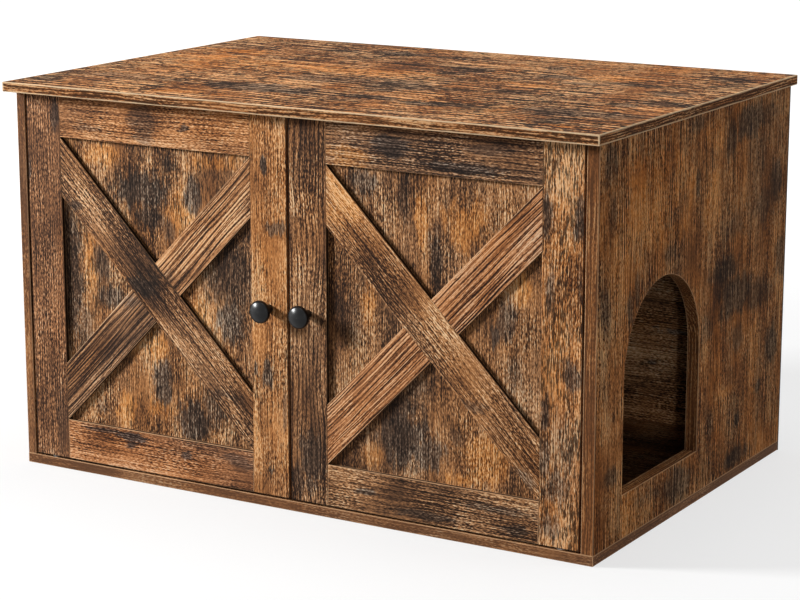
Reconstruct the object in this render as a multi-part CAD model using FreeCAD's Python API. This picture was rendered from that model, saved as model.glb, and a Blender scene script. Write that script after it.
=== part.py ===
import FreeCAD, Part
import math
import os

# Cat litter box cabinet: a low two-door cabinet of printed board with an arched cat entrance in its
# right side. Millimetres. +X runs to the right along the front, +Y to the back, +Z up. The origin is
# on the floor, in the middle of the body's footprint.

# Body: side panels stand on the bottom panel and carry the top panel.
BODY_WIDTH = 786.0
BODY_DEPTH = 530.0
CABINET_HEIGHT = 480.0
TOP_THICK = 12.0
BOTTOM_THICK = 12.0
LEFT_SIDE_THICK = 12.0
RIGHT_SIDE_THICK = 15.0
BACK_THICK = 3.0
TOP_OVERHANG_SIDE = 7.0
TOP_OVERHANG_FRONT = 17.0
TOP_OVERHANG_BACK = 3.0

# Cat entrance in the right side panel: straight jambs under a half round head.
ENTRANCE_WIDTH = 202.0
ENTRANCE_HEIGHT = 231.0
ENTRANCE_SILL = 51.0
ENTRANCE_FROM_FRONT = 70.0

# Divider between the litter room on the left and the entrance room on the right.
DIVIDER_THICK = 12.0
DIVIDER_CENTRE_X = 120.0
DIVIDER_DOOR_GAP = 8.0
PASSAGE_WIDTH = 200.0
PASSAGE_HEIGHT = 240.0
PASSAGE_SILL = 40.0
PASSAGE_FROM_BACK = 60.0

# Doors: a flat board with strips laid on its face as a frame with a diagonal cross.
DOOR_BOARD_THICK = 12.0
STRIP_THICK = 5.0
STILE_WIDTH = 50.0
RAIL_WIDTH = 50.0
BRACE_WIDTH = 50.0
STRIP_SEAM = 0.2
DOOR_RECESS = 0.5
DOOR_HINGE_GAP = 2.5
DOOR_MEETING_GAP = 3.0
DOOR_TOP_GAP = 2.0
DOOR_BOTTOM_GAP = 2.0

# Pivots: a steel pin in the top and the bottom edge of each door turns in a flanged bush.
PIVOT_INSET = 25.0
PIVOT_FROM_DOOR_FACE = 9.5
PIVOT_PIN_RADIUS = 2.5
PIVOT_PIN_IN_DOOR = 24.0
PIVOT_PIN_IN_BUSH = 7.0
PIVOT_CLEARANCE = 0.05
BUSH_RADIUS = 5.0
BUSH_DEPTH = 8.5
BUSH_FLANGE_RADIUS = 7.0
BUSH_FLANGE_THICK = 0.9
THRUST_GAP = 0.1

# Knobs: a flat mushroom on a slender stem, held from inside the door by a screw.
KNOB_RADIUS = 13.5
KNOB_LENGTH = 24.0
KNOB_HEAD_THICK = 6.5
KNOB_RIM_ROUND = 2.8
KNOB_DOME = 0.7
KNOB_STEM_BASE_RADIUS = 5.0
KNOB_STEM_TOP_RADIUS = 6.2
KNOB_SCREW_RADIUS = 2.0
KNOB_SCREW_IN_KNOB = 10.0
KNOB_SCREW_HEAD_RADIUS = 4.0
KNOB_SCREW_HEAD_THICK = 2.4

# Magnetic catches under the top panel and the strike plates on the doors.
CATCH_WIDTH = 46.0
CATCH_BODY_WIDTH = 26.0
CATCH_DEPTH = 15.0
CATCH_HEIGHT = 13.0
CATCH_EAR_THICK = 3.0
CATCH_FROM_CENTRE = 30.0
CATCH_CORNER = 1.0
MAGNET_WIDTH = 20.0
MAGNET_HEIGHT = 8.0
MAGNET_DEPTH = 12.0
MAGNET_PROUD = 0.6
MAGNET_CLEARANCE = 0.1
CATCH_STRIKE_GAP = 0.2
STRIKE_WIDTH = 32.0
STRIKE_HEIGHT = 12.0
STRIKE_THICK = 1.2
STRIKE_SCREW_SPACING = 22.0
STRIKE_SCREW_HEAD_RADIUS = 2.8

# Small wood screws for the catches, the strike plates and the divider's brackets.
SCREW_RADIUS = 1.5
SCREW_LENGTH = 9.0
SCREW_HEAD_RADIUS = 3.0
SCREW_HEAD_THICK = 1.6
SCREW_CLEARANCE = 0.1
SCREW_HEAD_ROOM = 20.0

# Knock-down fittings between the side panels and the top and bottom panels.
CAM_RADIUS = 6.0
CAM_SETBACK = 24.0
CAM_FLOOR = 3.8
CAM_SLOT_LENGTH = 7.0
CAM_SLOT_WIDTH = 1.4
CAM_SLOT_DEPTH = 2.0
CAM_FROM_EDGE = 60.0
BOLT_RADIUS = 2.5
BOLT_THREAD_DEPTH = 8.0
BOLT_HEAD_RADIUS = 3.2
BOLT_HEAD_LENGTH = 3.0
DOWEL_RADIUS = 3.0
DOWEL_IN_FLAT = 8.0
DOWEL_IN_EDGE = 17.0
DOWEL_FROM_CAM = 40.0
DOWEL_CHAMFER = 0.8
FITTING_CLEARANCE = 0.1

# Angle brackets that hold the divider.
BRACKET_LEG = 20.0
BRACKET_WIDTH = 16.0
BRACKET_THICK = 1.5
BRACKET_HOLE_FROM_END = 7.0
BRACKET_FROM_END = 60.0

# Nails through the back board.
NAIL_RADIUS = 1.0
NAIL_LENGTH = 18.0
NAIL_HEAD_RADIUS = 2.5
NAIL_HEAD_THICK = 0.8
NAIL_END_MARGIN = 30.0
NAIL_SPACING = 100.0

# Edge breaks.
BOARD_EDGE_BREAK = 0.5
STRIP_EDGE_BREAK = 0.4

# Places worked out from the sizes above.
BODY_LEFT = -BODY_WIDTH / 2
BODY_RIGHT = BODY_WIDTH / 2
BODY_FRONT = -BODY_DEPTH / 2
BACK_OUTER = BODY_DEPTH / 2
BACK_INNER = BACK_OUTER - BACK_THICK
INSIDE_LEFT = BODY_LEFT + LEFT_SIDE_THICK
INSIDE_RIGHT = BODY_RIGHT - RIGHT_SIDE_THICK
INSIDE_FLOOR = BOTTOM_THICK
INSIDE_CEILING = CABINET_HEIGHT - TOP_THICK
DOOR_WIDTH = (INSIDE_RIGHT - INSIDE_LEFT - 2 * DOOR_HINGE_GAP - DOOR_MEETING_GAP) / 2
LEFT_DOOR_X = INSIDE_LEFT + DOOR_HINGE_GAP
RIGHT_DOOR_X = LEFT_DOOR_X + DOOR_WIDTH + DOOR_MEETING_GAP
DOOR_BOTTOM = INSIDE_FLOOR + DOOR_BOTTOM_GAP
DOOR_TOP = INSIDE_CEILING - DOOR_TOP_GAP
DOOR_FACE = BODY_FRONT + DOOR_RECESS
DOOR_BOARD_FACE = DOOR_FACE + STRIP_THICK
DOOR_BACK = DOOR_BOARD_FACE + DOOR_BOARD_THICK
PIVOT_Y = DOOR_FACE + PIVOT_FROM_DOOR_FACE
LEFT_PIVOT_X = LEFT_DOOR_X + PIVOT_INSET
RIGHT_PIVOT_X = RIGHT_DOOR_X + DOOR_WIDTH - PIVOT_INSET
STRIKE_BACK = DOOR_BACK + STRIKE_THICK
MAGNET_FACE = STRIKE_BACK + CATCH_STRIKE_GAP
CATCH_FACE = MAGNET_FACE + MAGNET_PROUD
MEETING_X = RIGHT_DOOR_X - DOOR_MEETING_GAP / 2
STRIKE_CENTRE_Z = INSIDE_CEILING - CATCH_HEIGHT / 2
DIVIDER_LEFT = DIVIDER_CENTRE_X - DIVIDER_THICK / 2
DIVIDER_RIGHT = DIVIDER_CENTRE_X + DIVIDER_THICK / 2
DIVIDER_FRONT = DOOR_BACK + DIVIDER_DOOR_GAP

ALONG_X = FreeCAD.Vector(1, 0, 0)
ALONG_Y = FreeCAD.Vector(0, 1, 0)
ALONG_Z = FreeCAD.Vector(0, 0, 1)


def box(low, high):
    """A box from its lowest to its highest corner."""
    return Part.makeBox(high[0] - low[0], high[1] - low[1], high[2] - low[2], FreeCAD.Vector(*low))


def rod(start, direction, radius, length):
    """A round bar from the middle of its first end."""
    return Part.makeCylinder(radius, length, FreeCAD.Vector(*start), direction)


def prism(corners, direction):
    """A closed flat outline pushed out along a vector."""
    points = [FreeCAD.Vector(*corner) for corner in corners]
    points.append(points[0])
    return Part.Face(Part.makePolygon(points)).extrude(direction)


def break_edges(shape, size, chosen):
    """Chamfers the straight edges that the test picks."""
    edges = [edge for edge in shape.Edges if chosen(edge)]
    return shape.makeChamfer(size, edges)


def runs_along(edge, axis):
    """True for a straight edge that is parallel to an axis."""
    first = edge.Vertexes[0].Point
    last = edge.Vertexes[-1].Point
    return math.isclose(abs((last - first).normalize().dot(axis)), 1.0)


def arch_cutter(centre_y, width, sill_z, height, x_low, x_high):
    """A bar along X with the section of a doorway: straight sides under a half round head."""
    half = width / 2
    spring_z = sill_z + height - half
    low_left = FreeCAD.Vector(x_low, centre_y - half, sill_z)
    low_right = FreeCAD.Vector(x_low, centre_y + half, sill_z)
    spring_left = FreeCAD.Vector(x_low, centre_y - half, spring_z)
    spring_right = FreeCAD.Vector(x_low, centre_y + half, spring_z)
    crown = FreeCAD.Vector(x_low, centre_y, spring_z + half)
    outline = Part.Wire([
        Part.LineSegment(low_left, low_right).toShape(),
        Part.LineSegment(low_right, spring_right).toShape(),
        Part.Arc(spring_right, crown, spring_left).toShape(),
        Part.LineSegment(spring_left, low_left).toShape(),
    ])
    return Part.Face(outline).extrude(ALONG_X * (x_high - x_low))


def screw(head_base, direction, radius, length, head_radius, head_thick):
    """A screw whose head sits on head_base; direction points from the head to the tip."""
    start = FreeCAD.Vector(*head_base)
    shank = Part.makeCylinder(radius, length, start, direction)
    head = Part.makeCylinder(head_radius, head_thick, start - direction * head_thick, direction)
    rim = [edge for edge in head.Edges if (edge.BoundBox.Center - start).dot(direction) < -head_thick / 2]
    return shank.fuse(head.makeFillet(head_thick / 2, rim)).removeSplitter()


def small_screw(head_base, direction):
    """One of the small wood screws."""
    return screw(head_base, direction, SCREW_RADIUS, SCREW_LENGTH, SCREW_HEAD_RADIUS, SCREW_HEAD_THICK)


def small_screw_hole(head_base, direction):
    """The hole for a small wood screw, from the room above its head to just past its tip."""
    start = FreeCAD.Vector(*head_base) - direction * SCREW_HEAD_ROOM
    reach = SCREW_HEAD_ROOM + SCREW_LENGTH + SCREW_CLEARANCE
    return Part.makeCylinder(SCREW_RADIUS + SCREW_CLEARANCE, reach, start, direction)


def flush_screw(head_top, direction, around):
    """A countersunk screw with its head's top at head_top, or with a clearance around it its hole."""
    start = FreeCAD.Vector(*head_top)
    radius = SCREW_RADIUS + around
    head_radius = STRIKE_SCREW_HEAD_RADIUS + around
    cone = Part.makeCone(head_radius, radius, head_radius - radius, start, direction)
    return cone.fuse(Part.makeCylinder(radius, SCREW_LENGTH + around, start, direction)).removeSplitter()


def fitting_stations():
    """Distances from the front for the cams, and for the dowels further in, along one side panel."""
    depth = BACK_INNER - BODY_FRONT
    cams = [CAM_FROM_EDGE, depth - CAM_FROM_EDGE]
    dowels = [CAM_FROM_EDGE + DOWEL_FROM_CAM, depth - CAM_FROM_EDGE - DOWEL_FROM_CAM]
    return [BODY_FRONT + d for d in cams], [BODY_FRONT + d for d in dowels]


CAM_YS, DOWEL_YS = fitting_stations()


class Side:
    """One side panel: where its middle plane and its inner face lie, and which way is inwards."""

    def __init__(self, outer_x, thick, inward):
        self.outer_x = outer_x
        self.thick = thick
        self.inward = inward
        self.middle_x = outer_x + inward * thick / 2
        self.inner_x = outer_x + inward * thick


LEFT_SIDE = Side(BODY_LEFT, LEFT_SIDE_THICK, 1)
RIGHT_SIDE = Side(BODY_RIGHT, RIGHT_SIDE_THICK, -1)

# The two joints of each side panel: the face that it meets, and the way from that face into it.
EDGE_JOINTS = [(INSIDE_FLOOR, 1), (INSIDE_CEILING, -1)]


def cam_bolt(side, y, face_z, into_side):
    """A bolt that screws into the top or bottom panel and hooks into a cam in the side panel."""
    up = ALONG_Z * into_side
    thread_start = (side.middle_x, y, face_z - into_side * BOLT_THREAD_DEPTH)
    shank_length = BOLT_THREAD_DEPTH + CAM_SETBACK - BOLT_HEAD_LENGTH / 2
    head_start = (side.middle_x, y, face_z + into_side * (CAM_SETBACK - BOLT_HEAD_LENGTH / 2))
    shank = rod(thread_start, up, BOLT_RADIUS, shank_length)
    return shank.fuse(rod(head_start, up, BOLT_HEAD_RADIUS, BOLT_HEAD_LENGTH)).removeSplitter()


def bolt_bore(side, y, face_z, into_side):
    """The bore that takes the bolt and its head, from the side panel's end to past the cam."""
    reach = CAM_SETBACK + BOLT_HEAD_LENGTH / 2 + FITTING_CLEARANCE
    return rod((side.middle_x, y, face_z), ALONG_Z * into_side, BOLT_HEAD_RADIUS + FITTING_CLEARANCE, reach)


def cam_depth(side):
    """How deep a cam reaches into its panel, so that it holds the bolt's head on the panel's middle."""
    return side.thick / 2 + CAM_FLOOR


def cam_lock(side, y, face_z, into_side):
    """A round cam, bored for the bolt's head, with a cross slot in the face inside the cabinet."""
    centre_z = face_z + into_side * CAM_SETBACK
    body = rod((side.inner_x, y, centre_z), ALONG_X * -side.inward, CAM_RADIUS, cam_depth(side))
    body = body.cut(bolt_bore(side, y, face_z, into_side))
    slot_x = sorted([side.inner_x, side.inner_x - side.inward * CAM_SLOT_DEPTH])
    half_long = CAM_SLOT_LENGTH / 2
    half_short = CAM_SLOT_WIDTH / 2
    for half_y, half_z in ((half_long, half_short), (half_short, half_long)):
        low = (slot_x[0], y - half_y, centre_z - half_z)
        high = (slot_x[1], y + half_y, centre_z + half_z)
        body = body.cut(box(low, high))
    return body


def cam_bore(side, y, face_z, into_side):
    """The round pocket for a cam, open to the inside of the cabinet."""
    start = (side.inner_x, y, face_z + into_side * CAM_SETBACK)
    reach = cam_depth(side) + FITTING_CLEARANCE
    return rod(start, ALONG_X * -side.inward, CAM_RADIUS + FITTING_CLEARANCE, reach)


def dowel(side, y, face_z, into_side):
    """A wooden dowel across the joint, with both ends eased."""
    start = (side.middle_x, y, face_z - into_side * DOWEL_IN_FLAT)
    peg = rod(start, ALONG_Z * into_side, DOWEL_RADIUS, DOWEL_IN_FLAT + DOWEL_IN_EDGE)
    ends = [edge for edge in peg.Edges if len(edge.Vertexes) == 1]
    return peg.makeChamfer(DOWEL_CHAMFER, ends)


def dowel_bore(side, y, face_z, into_side):
    """The hole for a dowel in both panels of the joint."""
    start = (side.middle_x, y, face_z - into_side * (DOWEL_IN_FLAT + FITTING_CLEARANCE))
    reach = DOWEL_IN_FLAT + DOWEL_IN_EDGE + 2 * FITTING_CLEARANCE
    return rod(start, ALONG_Z * into_side, DOWEL_RADIUS + FITTING_CLEARANCE, reach)


def thread_bore(side, y, face_z, into_side):
    """The hole for the bolt's threaded end in the top or bottom panel."""
    start = (side.middle_x, y, face_z - into_side * (BOLT_THREAD_DEPTH + FITTING_CLEARANCE))
    reach = BOLT_THREAD_DEPTH + FITTING_CLEARANCE
    return rod(start, ALONG_Z * into_side, BOLT_RADIUS + FITTING_CLEARANCE, reach)


def at_joints(make, ys, sides, joints):
    """One copy of a fitting at each station of each joint."""
    return [make(side, y, face_z, into_side) for side in sides for face_z, into_side in joints for y in ys]


def flat_panel(heights, overhang_side, overhang_front, back_y, joint):
    """The top or the bottom panel with its holes for bolts and dowels."""
    low = (BODY_LEFT - overhang_side, BODY_FRONT - overhang_front, heights[0])
    high = (BODY_RIGHT + overhang_side, back_y, heights[1])
    panel = break_edges(box(low, high), BOARD_EDGE_BREAK, lambda edge: not runs_along(edge, ALONG_Z))
    holes = at_joints(thread_bore, CAM_YS, (LEFT_SIDE, RIGHT_SIDE), [joint])
    holes += at_joints(dowel_bore, DOWEL_YS, (LEFT_SIDE, RIGHT_SIDE), [joint])
    return panel.cut(Part.makeCompound(holes))


def catch_centres():
    """The X places of the two catches, one behind each door's meeting stile."""
    return [MEETING_X - CATCH_FROM_CENTRE, MEETING_X + CATCH_FROM_CENTRE]


def catch_screw_places(centre_x):
    """Where a catch's two screws stand, in the middle of its ears, under the ear."""
    ear = (CATCH_WIDTH - CATCH_BODY_WIDTH) / 2
    offset = CATCH_BODY_WIDTH / 2 + ear / 2
    y = CATCH_FACE + CATCH_DEPTH / 2
    z = INSIDE_CEILING - CATCH_EAR_THICK
    return [(centre_x - offset, y, z), (centre_x + offset, y, z)]


def bracket_places():
    """The angle brackets' corners: on the floor and under the ceiling, near the divider's ends."""
    ys = [DIVIDER_FRONT + BRACKET_FROM_END, BACK_INNER - BRACKET_FROM_END]
    return [(y, z, up) for z, up in EDGE_JOINTS for y in ys]


def bracket_screw_places(place):
    """A bracket's two screws: one through each leg, as head seat and direction."""
    y, z, up = place
    out = BRACKET_LEG - BRACKET_HOLE_FROM_END
    flat = ((DIVIDER_LEFT - out, y, z + up * BRACKET_THICK), ALONG_Z * -up)
    upright = ((DIVIDER_LEFT - BRACKET_THICK, y, z + up * out), ALONG_X)
    return [flat, upright]


def bracket(place):
    """A bent steel angle with one hole in each leg, on the divider's left face."""
    y, z, up = place
    corners = [
        (0, 0), (-BRACKET_LEG, 0), (-BRACKET_LEG, BRACKET_THICK),
        (-BRACKET_THICK, BRACKET_THICK), (-BRACKET_THICK, BRACKET_LEG), (0, BRACKET_LEG),
    ]
    outline = [(DIVIDER_LEFT + dx, y - BRACKET_WIDTH / 2, z + up * dz) for dx, dz in corners]
    body = prism(outline, ALONG_Y * BRACKET_WIDTH)
    return body.cut(Part.makeCompound([small_screw_hole(*seat) for seat in bracket_screw_places(place)]))


def panel_screw_holes(screw_seats):
    """The holes that small screws leave in a panel."""
    return [small_screw_hole(*seat) for seat in screw_seats]


def flush_screws(screw_seats, around=0.0):
    """The countersunk screws at these seats, or with a clearance around them their holes."""
    return [flush_screw(*seat, around) for seat in screw_seats]


def pivot_bush(x, face_z, into_door):
    """A flanged bush let into the top or bottom panel; its bore takes the pin with running clearance."""
    away = ALONG_Z * -into_door
    sleeve = rod((x, PIVOT_Y, face_z), away, BUSH_RADIUS, BUSH_DEPTH)
    flange = rod((x, PIVOT_Y, face_z), ALONG_Z * into_door, BUSH_FLANGE_RADIUS, BUSH_FLANGE_THICK)
    bore_start = (x, PIVOT_Y, face_z + into_door * BUSH_FLANGE_THICK)
    bore_depth = BUSH_FLANGE_THICK + PIVOT_PIN_IN_BUSH + THRUST_GAP
    bore = rod(bore_start, away, PIVOT_PIN_RADIUS + PIVOT_CLEARANCE, bore_depth)
    return sleeve.fuse(flange).cut(bore).removeSplitter()


def bush_bore(x, face_z, into_door):
    """The pocket for a bush in its panel."""
    reach = BUSH_DEPTH + FITTING_CLEARANCE
    return rod((x, PIVOT_Y, face_z), ALONG_Z * -into_door, BUSH_RADIUS + FITTING_CLEARANCE, reach)


def top_panel():
    joint = EDGE_JOINTS[1]
    heights = (INSIDE_CEILING, CABINET_HEIGHT)
    back = BACK_OUTER + TOP_OVERHANG_BACK
    panel = flat_panel(heights, TOP_OVERHANG_SIDE, TOP_OVERHANG_FRONT, back, joint)
    holes = [bush_bore(x, *joint) for x in (LEFT_PIVOT_X, RIGHT_PIVOT_X)]
    for centre_x in catch_centres():
        holes += panel_screw_holes([(place, ALONG_Z) for place in catch_screw_places(centre_x)])
    for place in bracket_places():
        if place[2] < 0:
            holes += panel_screw_holes([bracket_screw_places(place)[0]])
    return panel.cut(Part.makeCompound(holes))


def bottom_panel():
    joint = EDGE_JOINTS[0]
    panel = flat_panel((0.0, INSIDE_FLOOR), 0.0, 0.0, BACK_INNER, joint)
    holes = [bush_bore(x, *joint) for x in (LEFT_PIVOT_X, RIGHT_PIVOT_X)]
    for place in bracket_places():
        if place[2] > 0:
            holes += panel_screw_holes([bracket_screw_places(place)[0]])
    return panel.cut(Part.makeCompound(holes))


def side_board(side):
    """A side panel with the bores for its cams, bolts and dowels."""
    xs = sorted([side.outer_x, side.inner_x])
    board = box((xs[0], BODY_FRONT, INSIDE_FLOOR), (xs[1], BACK_INNER, INSIDE_CEILING))
    board = break_edges(board, BOARD_EDGE_BREAK, lambda edge: runs_along(edge, ALONG_Z))
    holes = at_joints(cam_bore, CAM_YS, [side], EDGE_JOINTS)
    holes += at_joints(bolt_bore, CAM_YS, [side], EDGE_JOINTS)
    holes += at_joints(dowel_bore, DOWEL_YS, [side], EDGE_JOINTS)
    return board.cut(Part.makeCompound(holes))


def right_side_board():
    """The right side panel with the cat entrance."""
    centre_y = BODY_FRONT + ENTRANCE_FROM_FRONT + ENTRANCE_WIDTH / 2
    sill_z = INSIDE_FLOOR + ENTRANCE_SILL
    opening = arch_cutter(centre_y, ENTRANCE_WIDTH, sill_z, ENTRANCE_HEIGHT, INSIDE_RIGHT, BODY_RIGHT)
    board = side_board(RIGHT_SIDE).cut(opening)
    rims = [edge for edge in board.Edges if on_entrance_rim(edge, centre_y, sill_z)]
    return board.makeChamfer(BOARD_EDGE_BREAK, rims)


def on_entrance_rim(edge, centre_y, sill_z):
    """True for the edges around the cat entrance, on the outer face only."""
    extent = edge.BoundBox
    crown_z = sill_z + ENTRANCE_HEIGHT
    inside_y = abs(extent.YMin - centre_y) < ENTRANCE_WIDTH and abs(extent.YMax - centre_y) < ENTRANCE_WIDTH
    inside_z = extent.ZMin > sill_z - BOARD_EDGE_BREAK and extent.ZMax < crown_z + BOARD_EDGE_BREAK
    return inside_y and inside_z and extent.XMin > BODY_RIGHT - BOARD_EDGE_BREAK


def back_board():
    """A thin board across the back, under the top panel."""
    return box((BODY_LEFT, BACK_INNER, 0.0), (BODY_RIGHT, BACK_OUTER, INSIDE_CEILING))


def spaced(low, high):
    """Places from near low to near high, evenly spread, about one nail spacing apart."""
    first = low + NAIL_END_MARGIN
    last = high - NAIL_END_MARGIN
    count = max(2, 1 + round((last - first) / NAIL_SPACING))
    return [first + (last - first) * i / (count - 1) for i in range(count)]


def nail_places():
    """Nails into the back edges of the side panels and of the bottom panel."""
    heights = spaced(INSIDE_FLOOR, INSIDE_CEILING)
    places = [(side.middle_x, z) for side in (LEFT_SIDE, RIGHT_SIDE) for z in heights]
    places += [(x, BOTTOM_THICK / 2) for x in spaced(BODY_LEFT, BODY_RIGHT)]
    return places


def back_nails():
    nails = []
    for x, z in nail_places():
        seat = (x, BACK_OUTER, z)
        nails.append(screw(seat, -ALONG_Y, NAIL_RADIUS, NAIL_LENGTH, NAIL_HEAD_RADIUS, NAIL_HEAD_THICK))
    return nails


def nail_holes():
    reach = NAIL_LENGTH + SCREW_CLEARANCE
    radius = NAIL_RADIUS + SCREW_CLEARANCE
    return [rod((x, BACK_OUTER, z), -ALONG_Y, radius, reach) for x, z in nail_places()]


def divider():
    """The inner wall with a passage for the cat near the back."""
    board = box((DIVIDER_LEFT, DIVIDER_FRONT, INSIDE_FLOOR), (DIVIDER_RIGHT, BACK_INNER, INSIDE_CEILING))
    centre_y = BACK_INNER - PASSAGE_FROM_BACK - PASSAGE_WIDTH / 2
    sill_z = INSIDE_FLOOR + PASSAGE_SILL
    opening = arch_cutter(centre_y, PASSAGE_WIDTH, sill_z, PASSAGE_HEIGHT, DIVIDER_LEFT, DIVIDER_RIGHT)
    seats = [bracket_screw_places(place)[1] for place in bracket_places()]
    return board.cut(Part.makeCompound([opening] + panel_screw_holes(seats)))


def catch_housing(centre_x):
    """A plastic block with two ears and a pocket for the magnet, under the top panel."""
    half_body = CATCH_BODY_WIDTH / 2
    low = (centre_x - half_body, CATCH_FACE, INSIDE_CEILING - CATCH_HEIGHT)
    high = (centre_x + half_body, CATCH_FACE + CATCH_DEPTH, INSIDE_CEILING)

    def is_lower_corner(edge):
        return edge.BoundBox.ZMax < high[2] and runs_along(edge, ALONG_Y)

    body = break_edges(box(low, high), CATCH_CORNER, is_lower_corner)
    half = CATCH_WIDTH / 2
    ears = box((centre_x - half, low[1], high[2] - CATCH_EAR_THICK), (centre_x + half, high[1], high[2]))
    ears = break_edges(ears, CATCH_CORNER, lambda edge: runs_along(edge, ALONG_Z))
    pocket = magnet_block(centre_x, MAGNET_CLEARANCE)
    holes = panel_screw_holes([(place, ALONG_Z) for place in catch_screw_places(centre_x)])
    return body.fuse(ears).cut(Part.makeCompound([pocket] + holes)).removeSplitter()


def magnet_block(centre_x, around):
    """The magnet, or with a clearance around it the pocket that holds it."""
    centre_z = STRIKE_CENTRE_Z
    half_x = MAGNET_WIDTH / 2 + around
    half_z = MAGNET_HEIGHT / 2 + around
    low = (centre_x - half_x, MAGNET_FACE, centre_z - half_z)
    high = (centre_x + half_x, MAGNET_FACE + MAGNET_DEPTH + around, centre_z + half_z)
    return box(low, high)


def brace_rise(width, height):
    """The upright length of a brace's end on a stile, for a brace of BRACE_WIDTH across the recess."""
    b2 = BRACE_WIDTH ** 2
    w2 = width ** 2
    root = math.sqrt(b2 * height ** 2 + (w2 - b2) * (w2 + height ** 2))
    return (BRACE_WIDTH * root - b2 * height) / (w2 - b2)


class Door:
    """One door's places: its left edge, its pivot and its knob, and the recess inside its frame."""

    def __init__(self, left_x, pivot_x, hinge_is_left):
        self.left = left_x
        self.right = left_x + DOOR_WIDTH
        self.pivot_x = pivot_x
        self.hinge_is_left = hinge_is_left
        self.recess_left = self.left + STILE_WIDTH
        self.recess_right = self.right - STILE_WIDTH
        self.recess_bottom = DOOR_BOTTOM + RAIL_WIDTH
        self.recess_top = DOOR_TOP - RAIL_WIDTH
        meeting_edge = self.right if hinge_is_left else self.left
        inwards = -1 if hinge_is_left else 1
        self.knob_x = meeting_edge + inwards * STILE_WIDTH / 2
        self.knob_z = (DOOR_BOTTOM + DOOR_TOP) / 2
        self.strike_x = MEETING_X + inwards * CATCH_FROM_CENTRE

    def strike_screw_seats(self):
        """The two strike plate screws' head tops, level with the plate's inner face."""
        half = STRIKE_SCREW_SPACING / 2
        return [((self.strike_x + dx, STRIKE_BACK, STRIKE_CENTRE_Z), -ALONG_Y) for dx in (-half, half)]


def ease_front(body):
    """Breaks the front edges of a strip."""
    middle_y = DOOR_FACE + STRIP_THICK / 2
    return break_edges(body, STRIP_EDGE_BREAK, lambda edge: edge.BoundBox.YMax < middle_y)


def strip(corners):
    """A flat strip on the door's face, from its outline in X and Z, with its front edges eased."""
    outline = [(x, DOOR_FACE, z) for x, z in corners]
    return ease_front(prism(outline, ALONG_Y * STRIP_THICK))


def knob_screw_hole(door):
    """The clear hole for the knob's screw through the door."""
    start = (door.knob_x, DOOR_FACE, door.knob_z)
    reach = STRIP_THICK + DOOR_BOARD_THICK
    return rod(start, ALONG_Y, KNOB_SCREW_RADIUS + SCREW_CLEARANCE, reach)


def pin_holes(door):
    """The holes in the door's top and bottom edges for its pivot pins."""
    reach = PIVOT_PIN_IN_DOOR + FITTING_CLEARANCE
    radius = PIVOT_PIN_RADIUS + PIVOT_CLEARANCE
    upper = rod((door.pivot_x, PIVOT_Y, DOOR_TOP), -ALONG_Z, radius, reach)
    lower = rod((door.pivot_x, PIVOT_Y, DOOR_BOTTOM), ALONG_Z, radius, reach)
    return [upper, lower]


def door_board(door):
    """The flat board that carries the strips."""
    low = (door.left, DOOR_BOARD_FACE, DOOR_BOTTOM)
    high = (door.right, DOOR_BACK, DOOR_TOP)
    rear_y = DOOR_BACK - BOARD_EDGE_BREAK
    board = break_edges(box(low, high), BOARD_EDGE_BREAK, lambda edge: edge.BoundBox.YMin > rear_y)
    holes = pin_holes(door) + [knob_screw_hole(door)]
    holes += flush_screws(door.strike_screw_seats(), SCREW_CLEARANCE)
    return board.cut(Part.makeCompound(holes))


def upright_strip(left, right):
    """A stile: a strip over the door's whole height."""
    return strip([(left, DOOR_BOTTOM), (right, DOOR_BOTTOM), (right, DOOR_TOP), (left, DOOR_TOP)])


def level_strip(door, bottom, top):
    """A rail: a strip between the stiles."""
    left = door.recess_left + STRIP_SEAM
    right = door.recess_right - STRIP_SEAM
    return strip([(left, bottom), (right, bottom), (right, top), (left, top)])


def brace_corners(door, seam, falls):
    """The outline of a diagonal strip between the recess's corners; falls is True for left high."""
    left = door.recess_left + seam
    right = door.recess_right - seam
    bottom = door.recess_bottom + seam
    top = door.recess_top - seam
    rise = brace_rise(right - left, top - bottom)
    if falls:
        return [(left, top), (left, top - rise), (right, bottom), (right, bottom + rise)]
    return [(left, bottom), (left, bottom + rise), (right, top), (right, top - rise)]


def wider_brace(door):
    """The space that the long brace takes out of the short ones, a seam wider on both sides."""
    (x0, z_top), (_, z_low), (x1, z_bottom), (_, z_high) = brace_corners(door, STRIP_SEAM, True)
    slope = (z_high - z_top) / (x1 - x0)
    lift = STRIP_SEAM * math.hypot(1, slope)
    outline = [(x0, z_top + lift), (x0, z_low - lift), (x1, z_bottom - lift), (x1, z_high + lift)]
    return prism([(x, DOOR_FACE, z) for x, z in outline], ALONG_Y * STRIP_THICK)


def short_braces(door):
    """The rising diagonal, cut into a lower and an upper piece by the long brace."""
    outline = [(x, DOOR_FACE, z) for x, z in brace_corners(door, STRIP_SEAM, False)]
    whole = prism(outline, ALONG_Y * STRIP_THICK)
    pieces = sorted(whole.cut(wider_brace(door)).Solids, key=lambda piece: piece.BoundBox.ZMin)
    return [ease_front(piece) for piece in pieces]


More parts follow.
